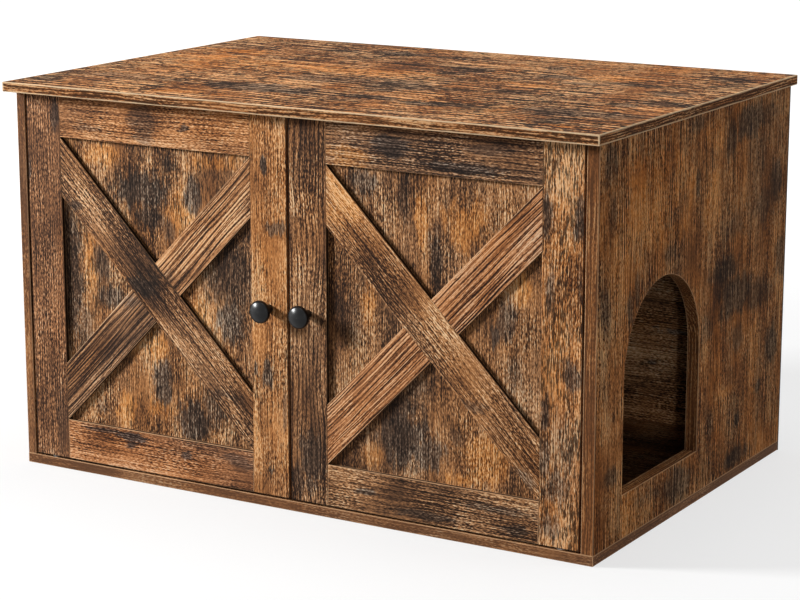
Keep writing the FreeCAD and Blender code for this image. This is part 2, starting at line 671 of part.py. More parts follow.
def knob(door):
    """The knob, turned about its screw, with a blind hole in its foot."""
    head_back = KNOB_LENGTH - KNOB_HEAD_THICK
    rim = KNOB_RIM_ROUND
    corner = rim * (1 - math.sqrt(0.5))
    rim_front = KNOB_LENGTH - KNOB_DOME
    dome_edge = KNOB_RADIUS - rim
    profile = [
        ((0, 0), (KNOB_STEM_BASE_RADIUS, 0)),
        ((KNOB_STEM_BASE_RADIUS, 0), (KNOB_STEM_TOP_RADIUS, head_back)),
        ((KNOB_STEM_TOP_RADIUS, head_back), (KNOB_RADIUS - rim / 2, head_back)),
        ((KNOB_RADIUS - rim / 2, head_back), (KNOB_RADIUS, head_back + rim / 2)),
        ((KNOB_RADIUS, head_back + rim / 2), (KNOB_RADIUS, rim_front - rim)),
        ((KNOB_RADIUS, rim_front - rim), (KNOB_RADIUS - corner, rim_front - corner), (dome_edge, rim_front)),
    ]
    dome_radius = (dome_edge ** 2 + KNOB_DOME ** 2) / (2 * KNOB_DOME)
    half_way = dome_edge / 2
    sag = dome_radius - math.sqrt(dome_radius ** 2 - half_way ** 2)
    profile.append(((dome_edge, rim_front), (half_way, KNOB_LENGTH - sag), (0, KNOB_LENGTH)))
    profile.append(((0, KNOB_LENGTH), (0, 0)))
    edges = []
    for points in profile:
        placed = [FreeCAD.Vector(door.knob_x + r, DOOR_FACE - h, door.knob_z) for r, h in points]
        curve = Part.Arc(*placed) if len(placed) == 3 else Part.LineSegment(*placed)
        edges.append(curve.toShape())
    axis_point = FreeCAD.Vector(door.knob_x, DOOR_FACE, door.knob_z)
    body = Part.Face(Part.Wire(edges)).revolve(axis_point, ALONG_Y, 360)
    reach = KNOB_SCREW_IN_KNOB + SCREW_CLEARANCE
    return body.cut(Part.makeCylinder(KNOB_SCREW_RADIUS + SCREW_CLEARANCE, reach, axis_point, -ALONG_Y))


def knob_screw(door):
    length = DOOR_BOARD_THICK + STRIP_THICK + KNOB_SCREW_IN_KNOB
    seat = (door.knob_x, DOOR_BACK, door.knob_z)
    return screw(seat, -ALONG_Y, KNOB_SCREW_RADIUS, length, KNOB_SCREW_HEAD_RADIUS, KNOB_SCREW_HEAD_THICK)


def strike_plate(door):
    """A small steel plate on the door's inner face, opposite the magnet."""
    half_x = STRIKE_WIDTH / 2
    half_z = STRIKE_HEIGHT / 2
    low = (door.strike_x - half_x, DOOR_BACK, STRIKE_CENTRE_Z - half_z)
    high = (door.strike_x + half_x, STRIKE_BACK, STRIKE_CENTRE_Z + half_z)
    plate = break_edges(box(low, high), CATCH_CORNER, lambda edge: runs_along(edge, ALONG_Y))
    return plate.cut(Part.makeCompound(flush_screws(door.strike_screw_seats(), SCREW_CLEARANCE)))


def pivot_pin(door, edge_z, out_of_door):
    """A plain steel pin, from inside the door's edge across the gap into the bush."""
    gap = DOOR_TOP_GAP if out_of_door > 0 else DOOR_BOTTOM_GAP
    start = (door.pivot_x, PIVOT_Y, edge_z - out_of_door * PIVOT_PIN_IN_DOOR)
    return rod(start, ALONG_Z * out_of_door, PIVOT_PIN_RADIUS, PIVOT_PIN_IN_DOOR + gap + PIVOT_PIN_IN_BUSH)


def thrust_washer(door):
    """The washer between the door's bottom edge and the lower bush, which carries the door."""
    start = (door.pivot_x, PIVOT_Y, DOOR_BOTTOM)
    thick = DOOR_BOTTOM_GAP - BUSH_FLANGE_THICK - THRUST_GAP
    ring = rod(start, -ALONG_Z, BUSH_FLANGE_RADIUS, thick)
    return ring.cut(rod(start, -ALONG_Z, PIVOT_PIN_RADIUS + PIVOT_CLEARANCE, thick))


def cabinet_parts():
    """Every fixed piece, by name."""
    holes = Part.makeCompound(nail_holes())
    sides = (LEFT_SIDE, RIGHT_SIDE)
    catches = catch_centres()
    catch_seats = [place for centre_x in catches for place in catch_screw_places(centre_x)]
    bracket_seats = [seat for place in bracket_places() for seat in bracket_screw_places(place)]
    pivots = (LEFT_PIVOT_X, RIGHT_PIVOT_X)
    return {
        "top_panel": [top_panel()],
        "bottom_panel": [bottom_panel().cut(holes)],
        "left_side_panel": [side_board(LEFT_SIDE).cut(holes)],
        "right_side_panel": [right_side_board().cut(holes)],
        "back_board": [back_board().cut(holes)],
        "back_board_nails": back_nails(),
        "divider_panel": [divider()],
        "divider_brackets": [bracket(place) for place in bracket_places()],
        "divider_bracket_screws": [small_screw(*seat) for seat in bracket_seats],
        "left_cam_locks": at_joints(cam_lock, CAM_YS, [LEFT_SIDE], EDGE_JOINTS),
        "right_cam_locks": at_joints(cam_lock, CAM_YS, [RIGHT_SIDE], EDGE_JOINTS),
        "cam_bolts": at_joints(cam_bolt, CAM_YS, sides, EDGE_JOINTS),
        "wood_dowels": at_joints(dowel, DOWEL_YS, sides, EDGE_JOINTS),
        "upper_pivot_bushes": [pivot_bush(x, *EDGE_JOINTS[1]) for x in pivots],
        "lower_pivot_bushes": [pivot_bush(x, *EDGE_JOINTS[0]) for x in pivots],
        "catch_housings": [catch_housing(centre_x) for centre_x in catches],
        "catch_magnets": [magnet_block(centre_x, 0.0) for centre_x in catches],
        "catch_screws": [small_screw(place, ALONG_Z) for place in catch_seats],
    }


def door_parts(name, door):
    """Every piece of one door, by name."""
    stiles = [upright_strip(door.left, door.recess_left), upright_strip(door.recess_right, door.right)]
    hinge_stile, meeting_stile = stiles if door.hinge_is_left else reversed(stiles)
    lower_brace, upper_brace = short_braces(door)
    return {
        name + "_door_board": [door_board(door)],
        name + "_hinge_stile": [hinge_stile],
        name + "_meeting_stile": [meeting_stile.cut(knob_screw_hole(door))],
        name + "_top_rail": [level_strip(door, door.recess_top, DOOR_TOP)],
        name + "_bottom_rail": [level_strip(door, DOOR_BOTTOM, door.recess_bottom)],
        name + "_long_brace": [strip(brace_corners(door, STRIP_SEAM, True))],
        name + "_upper_short_brace": [upper_brace],
        name + "_lower_short_brace": [lower_brace],
        name + "_knob": [knob(door)],
        name + "_knob_screw": [knob_screw(door)],
        name + "_strike_plate": [strike_plate(door)],
        name + "_strike_screws": flush_screws(door.strike_screw_seats()),
        name + "_upper_pivot_pin": [pivot_pin(door, DOOR_TOP, 1)],
        name + "_lower_pivot_pin": [pivot_pin(door, DOOR_BOTTOM, -1)],
        name + "_thrust_washer": [thrust_washer(door)],
    }


def main():
    os.makedirs("parts", exist_ok=True)
    nodes = cabinet_parts()
    nodes.update(door_parts("left", Door(LEFT_DOOR_X, LEFT_PIVOT_X, True)))
    nodes.update(door_parts("right", Door(RIGHT_DOOR_X, RIGHT_PIVOT_X, False)))
    for name, solids in nodes.items():
        shape = solids[0] if len(solids) == 1 else Part.makeCompound(solids)
        shape.exportStep(os.path.join("parts", name + ".step"))
        print(name, len(shape.Solids), "solids", round(shape.Volume, 1), "mm3")


main()
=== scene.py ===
import math

import bmesh
import bpy
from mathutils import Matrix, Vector


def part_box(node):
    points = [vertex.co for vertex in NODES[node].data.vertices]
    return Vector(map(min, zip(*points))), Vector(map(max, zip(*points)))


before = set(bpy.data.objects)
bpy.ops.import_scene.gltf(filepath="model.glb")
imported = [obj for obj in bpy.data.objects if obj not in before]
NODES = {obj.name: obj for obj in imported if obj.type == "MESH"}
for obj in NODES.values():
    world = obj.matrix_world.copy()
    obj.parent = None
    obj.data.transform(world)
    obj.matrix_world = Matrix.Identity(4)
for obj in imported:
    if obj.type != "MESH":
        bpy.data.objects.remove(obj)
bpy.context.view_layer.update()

# The looks of the cabinet: a printed rustic board on every panel, strip and brace, black knobs and
# plain hardware. Places in the materials are in millimetres in the frame's own axes.

MM = 1000.0

X = Vector((1.0, 0.0, 0.0))
Y = Vector((0.0, 1.0, 0.0))
Z = Vector((0.0, 0.0, 1.0))
FRONT = -Y


def colour(code):
    """A linear colour from its usual six-digit code."""
    parts = [int(code[i:i + 2], 16) / 255 for i in (0, 2, 4)]
    return tuple(p / 12.92 if p <= 0.04045 else ((p + 0.055) / 1.055) ** 2.4 for p in parts) + (1.0,)


class Graph:
    """The nodes of one material, with short calls for the kinds that are used here."""

    def __init__(self, name):
        self.material = bpy.data.materials.new(name)
        self.material.use_nodes = True
        self.tree = self.material.node_tree
        self.tree.nodes.clear()
        self.output = self.add("ShaderNodeOutputMaterial")
        self.coordinates = self.add("ShaderNodeTexCoord")
        self.place = self.vector("SCALE", self.coordinates.outputs["Object"], scale=MM)
        self.normal = self.coordinates.outputs["Normal"]

    def add(self, kind, **settings):
        node = self.tree.nodes.new(kind)
        for name, value in settings.items():
            setattr(node, name, value)
        return node

    def join(self, socket, value):
        if isinstance(value, bpy.types.NodeSocket):
            self.tree.links.new(value, socket)
        else:
            socket.default_value = value

    def math(self, operation, *values, clamp=False):
        node = self.add("ShaderNodeMath", operation=operation, use_clamp=clamp)
        for socket, value in zip(node.inputs, values):
            self.join(socket, value)
        return node.outputs[0]

    def vector(self, operation, *values, scale=None):
        node = self.add("ShaderNodeVectorMath", operation=operation)
        for socket, value in zip(node.inputs, values):
            self.join(socket, value)
        if scale is not None:
            self.join(node.inputs["Scale"], scale)
        number = operation in ("DOT_PRODUCT", "LENGTH", "DISTANCE")
        return node.outputs["Value" if number else "Vector"]

    def combine(self, x, y, z):
        node = self.add("ShaderNodeCombineXYZ")
        for socket, value in zip(node.inputs, (x, y, z)):
            self.join(socket, value)
        return node.outputs[0]

    def noise(self, vector, detail=2.0, roughness=0.5, distortion=0.0, output="Fac"):
        node = self.add("ShaderNodeTexNoise")
        self.join(node.inputs["Vector"], vector)
        node.inputs["Scale"].default_value = 1.0
        node.inputs["Detail"].default_value = detail
        node.inputs["Roughness"].default_value = roughness
        node.inputs["Distortion"].default_value = distortion
        return node.outputs[output]

    def step(self, value, low, high, top=1.0):
        """A smooth step from 0 at low to top at high."""
        node = self.add("ShaderNodeMapRange", interpolation_type="SMOOTHSTEP")
        for socket, number in zip(node.inputs, (value, low, high, 0.0, top)):
            self.join(socket, number)
        return node.outputs[0]

    def ramp(self, value, stops):
        node = self.add("ShaderNodeValToRGB")
        elements = node.color_ramp.elements
        while len(elements) < len(stops):
            elements.new(0.5)
        for element, (position, code) in zip(elements, stops):
            element.position = position
            element.color = colour(code)
        self.join(node.inputs[0], value)
        return node.outputs[0]

    def mix(self, factor, first, second, blend="MIX"):
        node = self.add("ShaderNodeMix", data_type="RGBA", blend_type=blend)
        for index, value in ((0, factor), (6, first), (7, second)):
            self.join(node.inputs[index], value)
        return node.outputs[2]

    def mix_vector(self, factor, first, second):
        node = self.add("ShaderNodeMix", data_type="VECTOR")
        for index, value in ((0, factor), (4, first), (5, second)):
            self.join(node.inputs[index], value)
        return node.outputs[1]

    def bump(self, height, distance, strength=1.0, below=None):
        node = self.add("ShaderNodeBump")
        node.inputs["Strength"].default_value = strength
        node.inputs["Distance"].default_value = distance
        self.join(node.inputs["Height"], height)
        if below is not None:
            self.join(node.inputs["Normal"], below)
        return node.outputs[0]

    def surface(self, **sockets):
        shader = self.add("ShaderNodeBsdfPrincipled")
        for name, value in sockets.items():
            self.join(shader.inputs[name.replace("_", " ")], value)
        self.tree.links.new(shader.outputs[0], self.output.inputs["Surface"])
        return self.material


# --- The printed board -------------------------------------------------------------------------

# Colours of the print from its darkest grain line to its lightest streak.
PRINT_STOPS = [(0.0, "1f130b"), (0.16, "3c281b"), (0.33, "5f422e"), (0.45, "7d5739"), (0.56, "9b6d48"),
               (0.69, "b9875c"), (0.86, "d8a87c"), (1.0, "e8c69c")]
GOLD_STOPS = [(0.0, "2c170b"), (0.2, "633a1b"), (0.4, "9c602f"), (0.6, "c28044"), (0.8, "dc9e60"),
              (1.0, "ecbe8b")]
CHAR_STOPS = [(0.0, "17100b"), (0.3, "2d221b"), (0.55, "4b3e35"), (0.75, "706154"), (1.0, "a99785")]
CRACK = "170f0a"
# The colour and width of a painted highlight along the edges, standing in for light on the arrises, with a
# ragged worn look.
EDGE_WEAR_AND_HIGHLIGHT = "c79c74"
EDGE_WEAR_AND_HIGHLIGHT_WIDTH = 0.9
MARK_BLEND = 0.25
FAR_FROM_MARKS = 9.0
PRINT_LEVEL = 0.4
PRINT_SPECULAR = 0.08
# Painted shade: the near-black painted on the doors' narrow faces and in a thin line round each door's
# outline, standing in for the shade beside the strips and in the gaps. The outline constants below size
# that line.
PAINTED_GAP_SHADE = "0d0907"
EDGING = "6f4a31"
EDGING_SHARE = 0.6
OUTLINE_SHARE = 0.92
OUTLINE_WIDTH = 1.3
OUTLINE_CORE = 0.4
ON_OUTLINE = 0.1
NO_END = 5000.0
# How squarely a face must look along a direction to count as facing it, and as narrow.
FACES_GRAIN = 0.8
FACES_OUT = 0.5
FACES_ASIDE = 0.3
# How much the broad, streaked, fine, pored and hairline layers of the print each count.
PRINT_SHARES = (1.3, 0.35, 1.5, 2.1, 0.15)
HAIRLINE_STEP = 3.2
SEED_STEP = Vector((37.0, 91.0, 53.0))

# The cat entrance's outline in the right side panel.
ENTRANCE_Y = -94.0
ENTRANCE_RADIUS = 101.0
ENTRANCE_SPRING = 193.0
ENTRANCE_SILL = 63.0


def flat_pair(face, u, v):
    """A vector from two numbers in a face's plane: X, Z on the front, X, Y on top, Y, Z on a side."""
    if abs(face.z) > 0.5:
        return Vector((u, v, 0.0))
    if abs(face.x) > 0.5:
        return Vector((0.0, u, v))
    return Vector((u, 0.0, v))


def mark_distance(graph, place, face, mark):
    """The distance from a mark's middle, in the mark's own radii."""
    u, v, radius_u, radius_v, _ = mark
    centre = flat_pair(face, u, v)
    inverse = flat_pair(face, 1.0 / radius_u, 1.0 / radius_v)
    offset = Vector([-a * b for a, b in zip(centre, inverse)])
    return graph.vector("LENGTH", graph.vector("MULTIPLY_ADD", place, inverse, offset))


def dark_marks(graph, place, face, marks, rough_edge, soft, strength):
    """The marks' darkness. A fainter mark has a softer edge."""
    dark = 0.0
    for mark in marks:
        weight = mark[-1] * strength
        blur = 0.2 * soft + 0.5 * (1.0 - weight)
        distance = graph.math("ADD", mark_distance(graph, place, face, mark), rough_edge)
        dark = graph.math("MAXIMUM", dark, graph.step(distance, 1.0 + blur, 1.0 - blur, weight))
    return dark


def nearest_mark(graph, place, face, marks):
    """The distance to the nearest gold mark, in its own radii; a fainter one is further away."""
    nearest = FAR_FROM_MARKS
    for mark in marks:
        distance = graph.math("ADD", mark_distance(graph, place, face, mark), 1.0 - mark[-1])
        nearest = graph.math("SMOOTH_MIN", nearest, distance, MARK_BLEND)
    return nearest


def edge_distance(graph, parts, centre, half):
    """How far a point on the surface of a bar or panel is from its nearest edge."""
    gaps = []
    for part, middle, size in zip(parts, centre, half):
        away = graph.math("ABSOLUTE", graph.math("SUBTRACT", part, middle))
        gaps.append(graph.math("ABSOLUTE", graph.math("SUBTRACT", size, away)))
    first, second, third = gaps
    smaller = graph.math("MINIMUM", first, second)
    larger = graph.math("MAXIMUM", first, second)
    return graph.math("MAXIMUM", smaller, graph.math("MINIMUM", larger, third))


def rim_distance(graph, low, high):
    """How far a point of the right side panel is from the entrance's two rims."""
    x, y, z = [graph.vector("DOT_PRODUCT", graph.place, axis) for axis in (X, Y, Z)]
    above = graph.math("MAXIMUM", graph.math("SUBTRACT", z, ENTRANCE_SPRING), 0.0)
    aside = graph.math("SUBTRACT", y, ENTRANCE_Y)
    radius = graph.vector("LENGTH", graph.combine(aside, above, 0.0))
    outside = graph.math("SUBTRACT", radius, ENTRANCE_RADIUS)
    outside = graph.math("MAXIMUM", outside, graph.math("SUBTRACT", ENTRANCE_SILL, z))
    outer = graph.math("ABSOLUTE", graph.math("SUBTRACT", high.x, x))
    inner = graph.math("ABSOLUTE", graph.math("SUBTRACT", x, low.x))
    return graph.math("MAXIMUM", graph.math("ABSOLUTE", outside), graph.math("MINIMUM", outer, inner))


def outline_distance(graph, door):
    """How far a point is inside a door's outline, seen from the front."""
    low_corner, high_corner = [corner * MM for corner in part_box(door)]
    inset = NO_END
    for axis in (X, Z):
        at = graph.vector("DOT_PRODUCT", graph.place, axis)
        inset = graph.math("MINIMUM", inset, graph.math("SUBTRACT", at, axis.dot(low_corner)))
        inset = graph.math("MINIMUM", inset, graph.math("SUBTRACT", axis.dot(high_corner), at))
    return inset


def outlined(graph, shade, printed, narrow, door):
    """A thin painted shadow line round a door's outline, standing in for the shade in the gaps, and brown
    edging on the edges that show when it is open.
    """
    inset = outline_distance(graph, door)
    shade = graph.mix(graph.step(inset, OUTLINE_WIDTH, OUTLINE_CORE, OUTLINE_SHARE), shade,
                      colour(PAINTED_GAP_SHADE))
    own_edge = graph.math("MULTIPLY", narrow, graph.math("LESS_THAN", inset, ON_OUTLINE))
    return graph.mix(own_edge, shade, graph.mix(EDGING_SHARE, printed, colour(EDGING)))


def printed_board(name, grain, face, seed, marks=(), gold=(), tone=0.0, warmth=0.5, lines=0.3,
                  crackle=0.0, blotches=0.0, coarse=1.0, sway=9.0, pull=30.0, soft=1.0, strength=0.95,
                  wear_and_highlight=1.0, wear_and_highlight_colour=EDGE_WEAR_AND_HIGHLIGHT, tint=None, specular=PRINT_SPECULAR, edges=0.45,
                  edge_colour=EDGING, haze=0.2, shares=PRINT_SHARES, half_width=None, centre=None,
                  rim=False, raw_back=False, door=None):
    """A board's print, its grain along one direction, with dark and gold marks in the face's plane."""
    graph = Graph(name + "_print")
    low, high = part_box(name)
    low = low * MM
    high = high * MM
    across = face.cross(grain)
    axes = (grain, across, face)
    parts = [graph.vector("DOT_PRODUCT", graph.place, axis) for axis in axes]
    along_part, across_part, depth_part = parts

    # On end faces the edging's grain runs along the edge.
    ends = graph.math("ABSOLUTE", graph.vector("DOT_PRODUCT", graph.normal, grain))
    ends = graph.math("GREATER_THAN", ends, FACES_GRAIN)
    straight = graph.combine(along_part, across_part, depth_part)
    turned = graph.combine(across_part, depth_part, along_part)
    line = graph.mix_vector(ends, straight, turned)
    if coarse != 1.0:
        facing = graph.math("ABSOLUTE", graph.vector("DOT_PRODUCT", graph.normal, face))
        facing = graph.math("GREATER_THAN", facing, FACES_OUT)
        squeeze = graph.math("MULTIPLY_ADD", facing, 1.0 / coarse - 1.0, 1.0)
        line = graph.vector("MULTIPLY", line, graph.combine(1.0, squeeze, squeeze))
    line = graph.vector("ADD", line, SEED_STEP * seed)

    def layer(along, width, **settings):
        """Noise with spots of about this length and width, in millimetres."""
        stretch = Vector((1.0 / along, 1.0 / width, 1.0 / width))
        return graph.noise(graph.vector("MULTIPLY", line, stretch), **settings)

    # The grain lines wander slowly across the board.
    wander = layer(170.0, 42.0, output="Color")
    wander = graph.vector("SUBTRACT", wander, Vector((0.5, 0.5, 0.5)))
    line = graph.vector("MULTIPLY_ADD", wander, Vector((0.0, sway, sway)), line)

    broad = layer(110.0, 46.0, detail=2.0)
    streak = layer(220.0, 4.5, detail=3.0, roughness=0.6)
    fine = layer(260.0, 1.1, roughness=0.6)
    pore = layer(4.0, 1.0, detail=1.0)
    rough = -sum(shares[1:4]) / 2
    for part, share in zip((streak, fine, pore), shares[1:4]):
        rough = graph.math("MULTIPLY_ADD", part, share, rough)
    hair = graph.vector("DOT_PRODUCT", line, Vector((0.0, 1.0, 0.8)) / HAIRLINE_STEP)
    hair = graph.math("MULTIPLY_ADD", layer(150.0, 9.0), 2.5, hair)
    hair = graph.math("SINE", graph.math("MULTIPLY", hair, math.tau))
    rough = graph.math("MULTIPLY_ADD", hair, shares[4], rough)

    # Some areas of the print are calm and others are busy.
    busy = graph.math("MULTIPLY_ADD", layer(75.0, 50.0), 2.4, -0.4)
    value = graph.math("MULTIPLY_ADD", broad, shares[0], PRINT_LEVEL + tone - shares[0] / 2)
    value = graph.math("MULTIPLY_ADD", rough, busy, value)

    # Growth lines, dark and narrow.
    ring = graph.vector("DOT_PRODUCT", line, Vector((0.0, 0.15, 0.05)))
    ring = graph.math("MULTIPLY_ADD", layer(260.0, 34.0), 3.0, ring)
    ring = graph.step(graph.math("SINE", graph.math("MULTIPLY", ring, math.tau)), 0.0, 1.0)
    value = graph.math("MULTIPLY_ADD", ring, -0.3 * lines, value)

    # Marks are pulled out along the grain, by strands a few millimetres wide.
    strand = layer(160.0, 3.2)
    ragged = layer(24.0, 8.0, detail=4.0, roughness=0.65)
    shift = graph.math("MULTIPLY", graph.math("SUBTRACT", strand, 0.5), pull)
    pulled = graph.vector("ADD", graph.place, graph.vector("SCALE", grain, scale=shift))
    rough_edge = graph.math("MULTIPLY", graph.math("SUBTRACT", ragged, 0.5), 2.3)

    dark = dark_marks(graph, pulled, face, marks, rough_edge, soft, strength)
    cloud = graph.math("MULTIPLY_ADD", rough_edge, 0.25, layer(85.0, 32.0))
    dark = graph.math("MAXIMUM", dark, graph.step(cloud, 0.45, 0.75, haze))
    if blotches:
        dark = graph.math("MAXIMUM", dark, graph.step(cloud, 0.74 - blotches, 0.86 - blotches, 0.85))

    bright = nearest_mark(graph, pulled, face, gold)
    bright = graph.math("MULTIPLY_ADD", graph.math("SUBTRACT", broad, 0.5), -2.2, bright)
    bright = graph.math("ADD", bright, rough_edge)
    bright = graph.step(bright, 1.4, 0.5)
    warm = graph.math("MULTIPLY_ADD", layer(190.0, 60.0), 1.9, warmth - 1.2)
    warm = graph.math("MAXIMUM", bright, graph.math("MULTIPLY", warm, 0.8, clamp=True))
    value = graph.math("MULTIPLY_ADD", bright, 0.1, value)

    # Short dark cracks, thickest round the marks.
    crack = graph.math("MULTIPLY_ADD", dark, 0.05, layer(13.0, 1.5, roughness=0.6))
    crack = graph.math("MULTIPLY_ADD", layer(60.0, 25.0, detail=1.0), 0.18 + 0.1 * crackle, crack)
    crack = graph.step(crack, 0.73 - 0.08 * crackle, 0.81 - 0.08 * crackle, 0.85)

    shade = graph.mix(warm, graph.ramp(value, PRINT_STOPS), graph.ramp(value, GOLD_STOPS))
    shade = graph.mix(dark, shade, graph.ramp(value, CHAR_STOPS))
    shade = graph.mix(crack, shade, colour(CRACK))
    if tint is not None:
        shade = graph.mix(1.0, shade, (*tint, 1.0), blend="MULTIPLY")

    # Painted highlight along the edges, with a ragged worn look, standing in for light on the arrises. A
    # brace slants, so its own width and middle stand in for its box.
    middle = (low + high) / 2
    half = (high - low) / 2
    if half_width is None:
        centres = [axis.dot(middle) for axis in axes]
        halves = [abs(axis.dot(half)) for axis in axes]
    else:
        centres = [0.0, across.dot(centre), face.dot(middle)]
        halves = [NO_END, half_width, abs(face.dot(half))]
    gap = edge_distance(graph, parts, centres, halves)
    # The entrance's rims on the right side panel get the same painted highlight and wear.
    if rim:
        gap = graph.math("MINIMUM", gap, rim_distance(graph, low, high))
    width = graph.math("MULTIPLY", graph.math("ADD", ragged, 0.1), EDGE_WEAR_AND_HIGHLIGHT_WIDTH * 1.6 * wear_and_highlight)
    wear_and_highlight_line = graph.step(graph.math("DIVIDE", gap, width), 1.15, 0.45, 0.75)
    # Narrow faces take the edge colour: brown edging on the panels, and on the doors' pieces a painted
    # shade standing in for the shade beside the strips and in the gaps.
    narrow = graph.math("ABSOLUTE", graph.vector("DOT_PRODUCT", graph.normal, face))
    narrow = graph.math("LESS_THAN", narrow, FACES_ASIDE)
    printed = shade
    shade = graph.mix(graph.math("MULTIPLY", narrow, edges), shade, colour(edge_colour))
    shade = graph.mix(wear_and_highlight_line, shade, colour(wear_and_highlight_colour))
    # On a door, a painted shadow line round its outline stands in for the shade in the gaps.
    if door is not None:
        shade = outlined(graph, shade, printed, narrow, door)
    if raw_back:
        outside = graph.vector("DOT_PRODUCT", graph.normal, face)
        outside = graph.math("GREATER_THAN", outside, -FACES_OUT)
        fibre = graph.noise(graph.vector("SCALE", graph.place, scale=0.4), detail=5.0, roughness=0.7)
        shade = graph.mix(outside, shade, graph.ramp(fibre, [(0.3, "2c241e"), (0.7, "55483b")]))

    height = graph.math("MULTIPLY_ADD", fine, 0.7, graph.math("MULTIPLY", pore, 0.5))
    height = graph.math("MULTIPLY_ADD", crack, -0.6, height)
    gloss = graph.math("MULTIPLY_ADD", streak, 0.24, 0.52)
    gloss = graph.math("MULTIPLY_ADD", dark, 0.06, gloss)
    return graph.surface(Base_Color=shade, Roughness=gloss, Specular_IOR_Level=specular,
                         Normal=graph.bump(height, 0.0003, 0.7))


def dress(name, material):
    """Puts one material on every slot of a CAD node."""
    slots = NODES[name].data.materials
    slots.clear()
    slots.append(material)


BRACE_ANGLE = math.radians(45.53)
BRACE_HALF_WIDTH = 25.0
FALLING = Vector((math.cos(BRACE_ANGLE), 0.0, -math.sin(BRACE_ANGLE)))
RISING = Vector((math.cos(BRACE_ANGLE), 0.0, math.sin(BRACE_ANGLE)))

# The top panel's wide light edges are a painted highlight along its arrises, with a worn look.
dress("top_panel", printed_board(
    "top_panel", X, Z, 1.0, tone=0.06, warmth=0.6, lines=0.4, coarse=3.5, pull=45.0, wear_and_highlight=2.0,
    strength=0.88, wear_and_highlight_colour="e8c8a0", crackle=0.9, tint=(1.0, 0.86, 0.74), haze=0.0,
    shares=(0.8, 0.9, 4.2, 2.4, 0.5), specular=0.02, edges=0.3,
    marks=[(-130, -165, 62, 30, 1), (-50, -170, 38, 28, 1), (-60, -58, 80, 30, 0.75),
           (20, -60, 40, 40, 0.8), (30, 100, 30, 24, 0.9), (25, 60, 24, 14, 0.8), (160, 100, 34, 16, 1),
           (118, 172, 18, 20, 0.9), (-125, 195, 32, 20, 0.95), (-60, 195, 28, 8, 0.8),
           (-215, 182, 30, 10, 0.9), (45, -165, 36, 13, 1), (150, -175, 52, 18, 1),
           (290, -160, 46, 28, 0.95), (318, -212, 22, 22, 0.9), (360, -155, 32, 20, 0.85),
           (365, -45, 38, 20, 0.85), (165, -45, 34, 16, 0.9), (340, 32, 24, 18, 0.9), (275, 82, 44, 11, 1),
           (215, 60, 28, 7, 0.9), (350, 180, 28, 20, 0.8), (-375, -235, 26, 18, 0.8),
           (30, -110, 18, 14, 0.85), (80, -62, 70, 10, 0.8), (330, -75, 22, 14, 0.85),
           (-300, -165, 90, 22, 0.55), (-380, -10, 30, 12, 0.4)],
    gold=[(-260, 20, 150, 60, 0.9), (-330, 110, 80, 40, 0.8), (-60, 25, 120, 40, 0.8),
          (-200, -240, 110, 22, 0.8), (230, 120, 60, 30, 0.9), (160, 15, 60, 18, 0.8),
          (225, -170, 22, 40, 0.9), (350, -250, 40, 20, 0.8)]))
dress("bottom_panel", printed_board("bottom_panel", X, Z, 2.0, tone=0.02, warmth=0.5, blotches=0.08,
                                    wear_and_highlight=1.1, edges=0.6))
dress("left_side_panel", printed_board(
    "left_side_panel", Z, X, 3.0, tone=0.0, warmth=0.6, blotches=0.03,
    marks=[(-170, 400, 30, 60, 0.9), (-60, 300, 60, 26, 0.85), (120, 420, 44, 30, 0.9),
           (180, 250, 40, 50, 0.85), (20, 120, 50, 40, 0.9), (-200, 170, 22, 40, 0.8),
           (150, 60, 36, 22, 0.85), (-90, 50, 30, 16, 0.8)],
    gold=[(-100, 200, 50, 70, 0.9), (60, 380, 50, 40, 0.8), (90, 210, 30, 60, 0.8)]))
dress("right_side_panel", printed_board(
    "right_side_panel", Z, X, 4.0, tone=0.03, warmth=0.8, lines=0.2, crackle=0.3, blotches=0.04, coarse=1.2,
    pull=16.0, rim=True, tint=(1.0, 0.86, 0.69), shares=(1.0, 0.3, 3.2, 2.2, 0.36), soft=1.7, strength=0.88,
    specular=0.03, edges=0.55,
    marks=[(140, 438, 52, 22, 1), (88, 425, 18, 28, 0.9), (190, 440, 40, 16, 0.8), (-238, 440, 18, 26, 0.8),
           (-12, 455, 20, 10, 0.85), (-8, 388, 7, 22, 0.9), (226, 352, 20, 32, 1), (190, 330, 22, 22, 0.9),
           (105, 320, 26, 16, 0.7), (75, 268, 44, 16, 0.95), (190, 370, 70, 90, 0.55),
           (112, 232, 52, 26, 1), (175, 222, 50, 20, 0.85), (118, 180, 18, 20, 0.8), (30, 210, 16, 16, 0.7),
           (-184, 272, 7, 24, 0.9), (-166, 290, 6, 22, 0.8), (-232, 388, 9, 24, 0.75),
           (-222, 92, 18, 10, 0.8), (-245, 285, 14, 26, 0.8), (-45, 38, 36, 24, 1), (128, 26, 44, 12, 0.95),
           (126, 74, 9, 10, 1), (189, 100, 8, 8, 1), (230, 146, 20, 24, 1), (250, 255, 20, 26, 0.85),
           (45, 90, 7, 20, 0.8), (-80, 318, 18, 10, 0.7), (-100, 45, 60, 8, 0.5)],
    gold=[(-120, 395, 90, 80, 1), (45, 440, 40, 30, 0.9), (175, 150, 16, 60, 0.9), (-170, 45, 34, 44, 0.85),
          (90, 116, 30, 7, 1), (-80, 340, 50, 30, 0.8), (30, 350, 30, 50, 0.7)]))
dress("divider_panel", printed_board("divider_panel", Z, X, 5.0, tone=0.0, warmth=0.5, blotches=0.12))
dress("back_board", printed_board("back_board", X, Y, 6.0, tone=0.14, warmth=0.4, blotches=0.1,
                                  raw_back=True))

# The short braces' print has long fine lines and few pores.
LINED = (1.0, 0.25, 2.2, 1.0, 0.22)
# How wide the painted edge highlight and wear are on these door pieces; the rest take 0.5.
WEAR_AND_HIGHLIGHT_BY_PIECE = {"bottom_rail": 1.2, "short_brace": 0.9}

